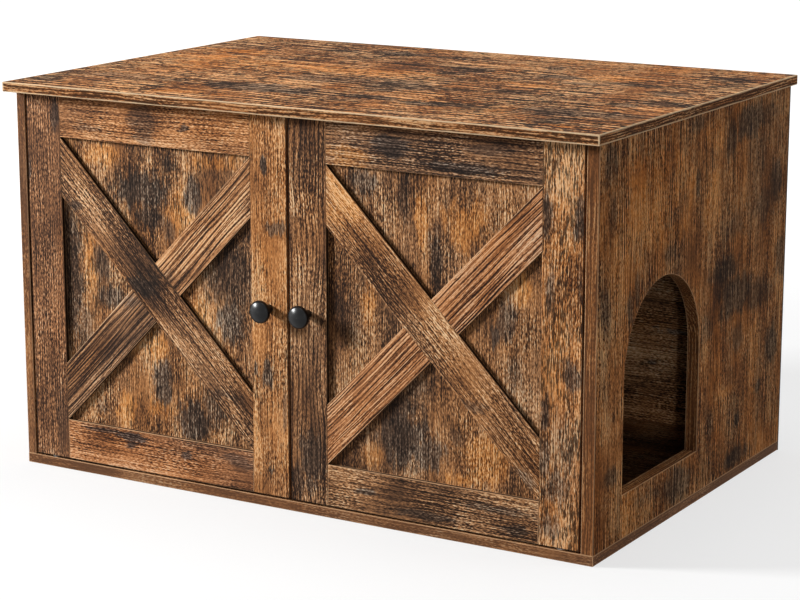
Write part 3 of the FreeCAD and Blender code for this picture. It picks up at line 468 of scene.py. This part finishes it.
DOORS = {
    "left": {
        "middle": Vector((-190.75, 0.0, 240.0)),
        "door_board": (Z, dict(
            tone=0.1, warmth=0.6, crackle=0.8, lines=0.2, soft=1.4, strength=0.88,
            haze=0.1,
            marks=[(-212, 362, 42, 22, 1), (-202, 328, 20, 14, 0.95), (-172, 318, 8, 12, 0.8),
                   (-172, 394, 9, 8, 0.8), (-138, 362, 12, 22, 1), (-274, 268, 12, 22, 0.85),
                   (-262, 226, 20, 13, 0.9), (-320, 250, 17, 95, 0.9), (-300, 170, 16, 40, 0.75),
                   (-90, 270, 34, 44, 0.75), (-86, 216, 20, 26, 1), (-186, 126, 14, 30, 1),
                   (-140, 86, 24, 28, 1), (-112, 108, 18, 22, 0.8), (-150, 190, 18, 10, 0.6),
                   (-280, 86, 9, 7, 0.6)],
            gold=[(-188, 172, 16, 20, 1), (-192, 96, 22, 18, 0.9), (-240, 88, 24, 24, 0.85),
                  (-265, 400, 34, 14, 0.95), (-290, 265, 16, 48, 0.85), (-160, 345, 22, 40, 0.9),
                  (-110, 402, 40, 14, 0.8), (-128, 222, 14, 22, 0.8)])),
        "hinge_stile": (Z, dict(tone=-0.03, warmth=0.3, tint=(1.0, 0.94, 0.94), lines=0.1,
                                shares=(0.6, 0.15, 0.9, 1.9, 0.16), haze=0.1,
                                marks=[(-335, 444, 6, 20, 0.9), (-376, 374, 3, 16, 0.9),
                                       (-338, 60, 8, 40, 0.5)])),
        "meeting_stile": (Z, dict(tone=0.25, warmth=0.85, tint=(1.0, 0.95, 0.88), lines=0.2, crackle=0.5,
                                  marks=[(-35, 410, 5, 11, 1), (-20, 336, 18, 8, 0.8),
                                         (-31, 163, 8, 20, 0.95), (-48, 162, 3, 10, 0.9),
                                         (-28, 42, 4, 4, 0.9), (-8, 120, 3, 30, 0.6)])),
        "top_rail": (X, dict(tone=0.19, warmth=0.6, tint=(1.0, 0.92, 0.86), lines=0.4,
                             marks=[(-205, 440, 18, 22, 0.7), (-147, 441, 7, 4, 0.9),
                                    (-290, 430, 20, 4, 0.6)])),
        "bottom_rail": (X, dict(tone=0.17, warmth=0.65, tint=(1.0, 0.92, 0.95), lines=0.4,
                                marks=[(-230, 56, 22, 6, 1), (-233, 45, 8, 6, 0.9), (-280, 58, 26, 3, 0.85),
                                       (-150, 45, 9, 5, 0.9), (-72, 48, 22, 9, 0.7)])),
        "long_brace": (FALLING, dict(tone=0.09, warmth=0.35, lines=0.7,
                                     marks=[(-205, 245, 22, 16, 0.95), (-308, 334, 10, 6, 0.8),
                                            (-95, 128, 26, 6, 0.6)])),
        "upper_short_brace": (RISING, dict(tone=0.3, warmth=0.45, tint=(1.0, 0.93, 0.87), lines=1.5,
                                           shares=LINED, marks=[(-172, 262, 8, 10, 0.5)])),
        "lower_short_brace": (RISING, dict(tone=0.09, warmth=0.3, tint=(0.95, 1.0, 1.1), lines=1.2,
                                           shares=LINED, marks=[(-225, 225, 14, 8, 0.6)])),
    },
    "right": {
        "middle": Vector((187.75, 0.0, 240.0)),
        "door_board": (Z, dict(
            tone=0.04, warmth=0.5, crackle=0.4, lines=0.2, soft=1.4, strength=0.88,
            marks=[(98, 400, 20, 14, 0.85), (150, 385, 10, 30, 0.7), (190, 325, 8, 40, 0.85),
                   (75, 240, 20, 30, 0.6), (280, 262, 14, 24, 0.85), (266, 243, 7, 12, 1),
                   (292, 205, 12, 24, 0.6), (150, 108, 34, 34, 1), (182, 96, 22, 22, 0.95),
                   (140, 150, 30, 20, 0.85), (218, 122, 10, 9, 0.6), (165, 170, 22, 16, 0.7),
                   (120, 110, 70, 40, 0.4)],
            gold=[(262, 100, 40, 26, 1), (110, 82, 18, 14, 0.9), (230, 74, 30, 8, 0.9),
                  (232, 368, 34, 34, 0.85), (172, 368, 9, 34, 0.95), (100, 260, 20, 40, 0.6),
                  (300, 300, 12, 20, 0.8)])),
        "meeting_stile": (Z, dict(tone=0.02, warmth=0.4, lines=1.0, sway=22.0,
                                  marks=[(28, 72, 18, 28, 0.85), (10, 40, 9, 20, 0.7),
                                         (26, 36, 10, 8, 0.8)])),
        "top_rail": (X, dict(tone=0.02, warmth=0.3, tint=(0.95, 1.0, 1.1), lines=0.8,
                             marks=[(135, 444, 26, 13, 0.9), (230, 427, 52, 6, 0.85),
                                    (270, 450, 40, 6, 0.6)],
                             gold=[(78, 428, 26, 10, 1)])),
        "hinge_stile": (Z, dict(tone=0.35, warmth=1.0, soft=1.6, strength=0.8, tint=(1.0, 0.94, 0.9),
                                gold=[(348, 345, 16, 34, 1), (345, 255, 14, 34, 1),
                                      (350, 190, 10, 20, 0.9)], lines=0.3, crackle=1.1,
                                marks=[(331, 388, 7, 26, 1), (369, 386, 6, 24, 1), (336, 302, 5, 26, 0.9),
                                       (364, 214, 12, 17, 1), (332, 166, 6, 22, 1), (332, 122, 8, 30, 0.9),
                                       (345, 84, 16, 20, 0.85), (338, 38, 12, 16, 0.9),
                                       (372, 315, 3, 26, 0.7), (352, 130, 18, 40, 0.5)])),
        "bottom_rail": (X, dict(tone=0.0, warmth=0.3, lines=0.5,
                                marks=[(100, 40, 14, 4, 0.9), (180, 24, 40, 5, 0.85), (265, 46, 40, 5, 0.7),
                                       (300, 26, 20, 7, 0.8)])),
        "long_brace": (FALLING, dict(tone=0.13, warmth=0.45, lines=0.6,
                                     marks=[(300, 86, 22, 12, 0.7), (240, 160, 26, 6, 0.6)],
                                     gold=[(78, 378, 26, 30, 0.95)])),
        "upper_short_brace": (RISING, dict(tone=0.28, warmth=0.5, tint=(1.0, 0.91, 0.91), lines=1.7,
                                           shares=LINED)),
        "lower_short_brace": (RISING, dict(tone=0.21, warmth=0.55, tint=(1.0, 0.89, 0.85), lines=1.0,
                                           shares=LINED)),
    },
}
seed = 7.0
for side, pieces in DOORS.items():
    middle = pieces.pop("middle")
    for piece, (grain, look) in pieces.items():
        name = side + "_" + piece
        if "brace" in piece:
            look = dict(look, half_width=BRACE_HALF_WIDTH, centre=middle)
        wear_and_highlight_line = max([wear_and_highlight for part, wear_and_highlight in WEAR_AND_HIGHLIGHT_BY_PIECE.items() if part in piece], default=0.5)
        # All door pieces get painted shade, almost black, on their narrow faces, standing in for the shade
        # beside the strips and in the gaps; a door's own outer edges then get brown edging.
        look = dict(look, edges=0.9, edge_colour=PAINTED_GAP_SHADE, wear_and_highlight=wear_and_highlight_line, door=side + "_door_board")
        dress(name, printed_board(name, grain, FRONT, seed, **look))
        seed += 1.0


# --- Hardware ----------------------------------------------------------------------------------

DOME_RADIUS = 26.0


def black_knob(name):
    """Black paint. The flat face is shaded as a shallow dome round the knob's axis."""
    graph = Graph(name + "_paint")
    low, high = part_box(name)
    aside = graph.vector("ADD", graph.place, (low + high) * (-MM / 2))
    aside = graph.vector("LENGTH", graph.vector("MULTIPLY", aside, X + Z))
    dome = graph.math("MULTIPLY", graph.math("POWER", aside, 2.0), -1.0 / (2.0 * DOME_RADIUS))
    peel = graph.noise(graph.vector("SCALE", graph.place, scale=1 / 1.1), detail=2.0)
    cloud = graph.noise(graph.vector("SCALE", graph.place, scale=1 / 9.0), detail=3.0)
    paint = graph.ramp(cloud, [(0.3, "070708"), (0.7, "0c0c0e")])
    gloss = graph.math("MULTIPLY_ADD", cloud, 0.1, 0.24)
    shape = graph.bump(dome, 1.0 / MM)
    return graph.surface(Base_Color=paint, Roughness=gloss, Specular_IOR_Level=0.25,
                         Normal=graph.bump(peel, 0.00005, 0.35, below=shape))


def metal(name, dark, light, roughness, scale=14.0):
    graph = Graph(name)
    cloud = graph.noise(graph.vector("SCALE", graph.place, scale=1 / scale), detail=4.0, roughness=0.6)
    scratch = graph.noise(graph.vector("MULTIPLY", graph.place, Vector((0.15, 2.4, 2.4))), detail=2.0)
    tint = graph.ramp(cloud, [(0.3, dark), (0.7, light)])
    gloss = graph.math("MULTIPLY_ADD", scratch, 0.25, roughness - 0.12)
    return graph.surface(Base_Color=tint, Metallic=1.0, Roughness=gloss, Normal=graph.bump(scratch, 0.00003,
                                                                                           0.3))


def moulded(name, dark, light, roughness):
    graph = Graph(name)
    cloud = graph.noise(graph.vector("SCALE", graph.place, scale=1 / 7.0), detail=3.0)
    grit = graph.noise(graph.vector("SCALE", graph.place, scale=1 / 0.35), detail=1.0)
    tint = graph.ramp(cloud, [(0.3, dark), (0.7, light)])
    gloss = graph.math("MULTIPLY_ADD", grit, 0.15, roughness - 0.07)
    return graph.surface(Base_Color=tint, Roughness=gloss, Normal=graph.bump(grit, 0.00002, 0.4))


def beech():
    graph = Graph("beech_dowel")
    grain = graph.noise(graph.vector("MULTIPLY", graph.place, Vector((1.4, 1.4, 0.08))), detail=3.0)
    tint = graph.ramp(grain, [(0.25, "b98a5c"), (0.75, "e0bd8f")])
    return graph.surface(Base_Color=tint, Roughness=0.65, Normal=graph.bump(grain, 0.0001, 0.4))


zinc = metal("zinc_steel", "9a9a98", "c9c9c6", 0.38)
nylon = moulded("white_nylon", "dcdcd6", "efefea", 0.45)
catch_plastic = moulded("catch_plastic", "43291a", "58382a", 0.5)
ferrite = moulded("magnet_ferrite", "26262a", "3a3a3f", 0.6)
wood_pin = beech()

FINISHES = {
    zinc: ["back_board_nails", "divider_brackets", "divider_bracket_screws", "catch_screws",
           "left_cam_locks", "right_cam_locks", "cam_bolts"],
    nylon: ["upper_pivot_bushes", "lower_pivot_bushes"],
    catch_plastic: ["catch_housings"],
    ferrite: ["catch_magnets"],
    wood_pin: ["wood_dowels"],
}
for side in ("left_", "right_"):
    FINISHES[zinc] += [side + part for part in (
        "knob_screw", "strike_plate", "strike_screws", "upper_pivot_pin", "lower_pivot_pin")]
    FINISHES[nylon].append(side + "thrust_washer")
    dress(side + "knob", black_knob(side + "knob"))
for finish, names in FINISHES.items():
    for name in names:
        dress(name, finish)


# --- Floor, background and light ---------------------------------------------------------------

FLOOR_HALF = 14.0
FLOOR_GLOW = 0.67
FLOOR_NEAR = 0.75
FLOOR_FAR = 2.2
FLOOR_COLOUR = (0.3, 0.3, 0.3, 1.0)


def plain_rays(tree):
    """1 for camera, glossy and transmission rays, which see a white surround."""
    path = tree.nodes.new("ShaderNodeLightPath")
    total = path.outputs["Is Camera Ray"]
    for name in ("Is Glossy Ray", "Is Transmission Ray"):
        add = tree.nodes.new("ShaderNodeMath")
        add.operation = "MAXIMUM"
        tree.links.new(total, add.inputs[0])
        tree.links.new(path.outputs[name], add.inputs[1])
        total = add.outputs[0]
    return total


def make_floor():
    mesh = bpy.data.meshes.new("studio_floor")
    shape = bmesh.new()
    bmesh.ops.create_grid(shape, x_segments=8, y_segments=8, size=FLOOR_HALF)
    shape.to_mesh(mesh)
    shape.free()
    floor = bpy.data.objects.new("studio_floor", mesh)
    bpy.context.scene.collection.objects.link(floor)
    material = bpy.data.materials.new("studio_floor")
    material.use_nodes = True
    tree = material.node_tree
    tree.nodes.clear()
    output = tree.nodes.new("ShaderNodeOutputMaterial")
    total = tree.nodes.new("ShaderNodeAddShader")
    diffuse = tree.nodes.new("ShaderNodeBsdfDiffuse")
    diffuse.inputs["Color"].default_value = FLOOR_COLOUR
    glow = tree.nodes.new("ShaderNodeEmission")
    place = tree.nodes.new("ShaderNodeTexCoord")
    reach = tree.nodes.new("ShaderNodeVectorMath")
    reach.operation = "LENGTH"
    far = tree.nodes.new("ShaderNodeMapRange")
    far.interpolation_type = "SMOOTHSTEP"
    for socket, number in zip(far.inputs[1:], (FLOOR_NEAR, FLOOR_FAR, FLOOR_GLOW, 1.0)):
        socket.default_value = number
    share = tree.nodes.new("ShaderNodeMath")
    share.operation = "MULTIPLY"
    tree.links.new(place.outputs["Object"], reach.inputs[0])
    tree.links.new(reach.outputs["Value"], far.inputs[0])
    tree.links.new(plain_rays(tree), share.inputs[0])
    tree.links.new(far.outputs[0], share.inputs[1])
    tree.links.new(share.outputs[0], glow.inputs["Strength"])
    tree.links.new(diffuse.outputs[0], total.inputs[0])
    tree.links.new(glow.outputs[0], total.inputs[1])
    tree.links.new(total.outputs[0], output.inputs["Surface"])
    mesh.materials.append(material)


def make_world(strength):
    world = bpy.data.worlds.new("studio")
    bpy.context.scene.world = world
    world.use_nodes = True
    tree = world.node_tree
    tree.nodes.clear()
    output = tree.nodes.new("ShaderNodeOutputWorld")
    mix = tree.nodes.new("ShaderNodeMixShader")
    ambient = tree.nodes.new("ShaderNodeBackground")
    ambient.inputs["Strength"].default_value = strength
    white = tree.nodes.new("ShaderNodeBackground")
    white.inputs["Strength"].default_value = 1.0
    white.inputs["Color"].default_value = (1.0, 1.0, 1.0, 1.0)
    ambient.inputs["Color"].default_value = (1.0, 0.99, 0.97, 1.0)
    tree.links.new(plain_rays(tree), mix.inputs[0])
    tree.links.new(ambient.outputs[0], mix.inputs[1])
    tree.links.new(white.outputs[0], mix.inputs[2])
    tree.links.new(mix.outputs[0], output.inputs["Surface"])


def place_light(name, data, place, target):
    light = bpy.data.objects.new(name, data)
    light.location = place
    light.rotation_euler = (Vector(target) - Vector(place)).to_track_quat("-Z", "Y").to_euler()
    bpy.context.scene.collection.objects.link(light)


def lamp(name, place, target, size, power):
    data = bpy.data.lights.new(name, "AREA")
    data.shape = "SQUARE"
    data.size = size
    data.energy = power
    place_light(name, data, place, target)


WORLD_STRENGTH = 0.1
# Each lamp's name, place, target, size and power.
LAMPS = [
    ("key_light", (-4.1, -2.4, 1.95), (0.0, 0.0, 0.24), 1.0, 410.0),
    ("top_light", (0.2, 0.3, 3.6), (0.0, 0.0, 0.3), 2.2, 52.0),
    ("side_light", (3.6, 1.3, 1.2), (0.2, 0.0, 0.24), 1.5, 24.0),
    ("fill_light", (2.1, -3.4, 0.95), (0.35, -0.1, 0.2), 0.9, 7.0),
]
make_floor()
make_world(WORLD_STRENGTH)
for settings in LAMPS:
    lamp(*settings)
entrance_light = bpy.data.lights.new("entrance_light", "SPOT")
entrance_light.energy = 34.0
entrance_light.spot_size = math.radians(4.2)
entrance_light.spot_blend = 0.6
entrance_light.shadow_soft_size = 0.03
place_light("entrance_light", entrance_light, (1.75, -2.75, 0.75), (0.36, -0.05, 0.16))

LENS_MM = 109.6
SENSOR_MM = 36.0
CAMERA_PLACE = (1.5064, -2.5452, 0.8779)
CAMERA_TILT = 12.882
CAMERA_TURN = 30.784

camera_data = bpy.data.cameras.new("camera")
camera_data.lens = LENS_MM
camera_data.sensor_width = SENSOR_MM
camera = bpy.data.objects.new("camera", camera_data)
camera.location = CAMERA_PLACE
camera.rotation_euler = (math.radians(90.0 - CAMERA_TILT), 0.0, math.radians(CAMERA_TURN))
bpy.context.scene.collection.objects.link(camera)
bpy.context.scene.camera = camera
bpy.context.scene.view_settings.view_transform = "Standard"
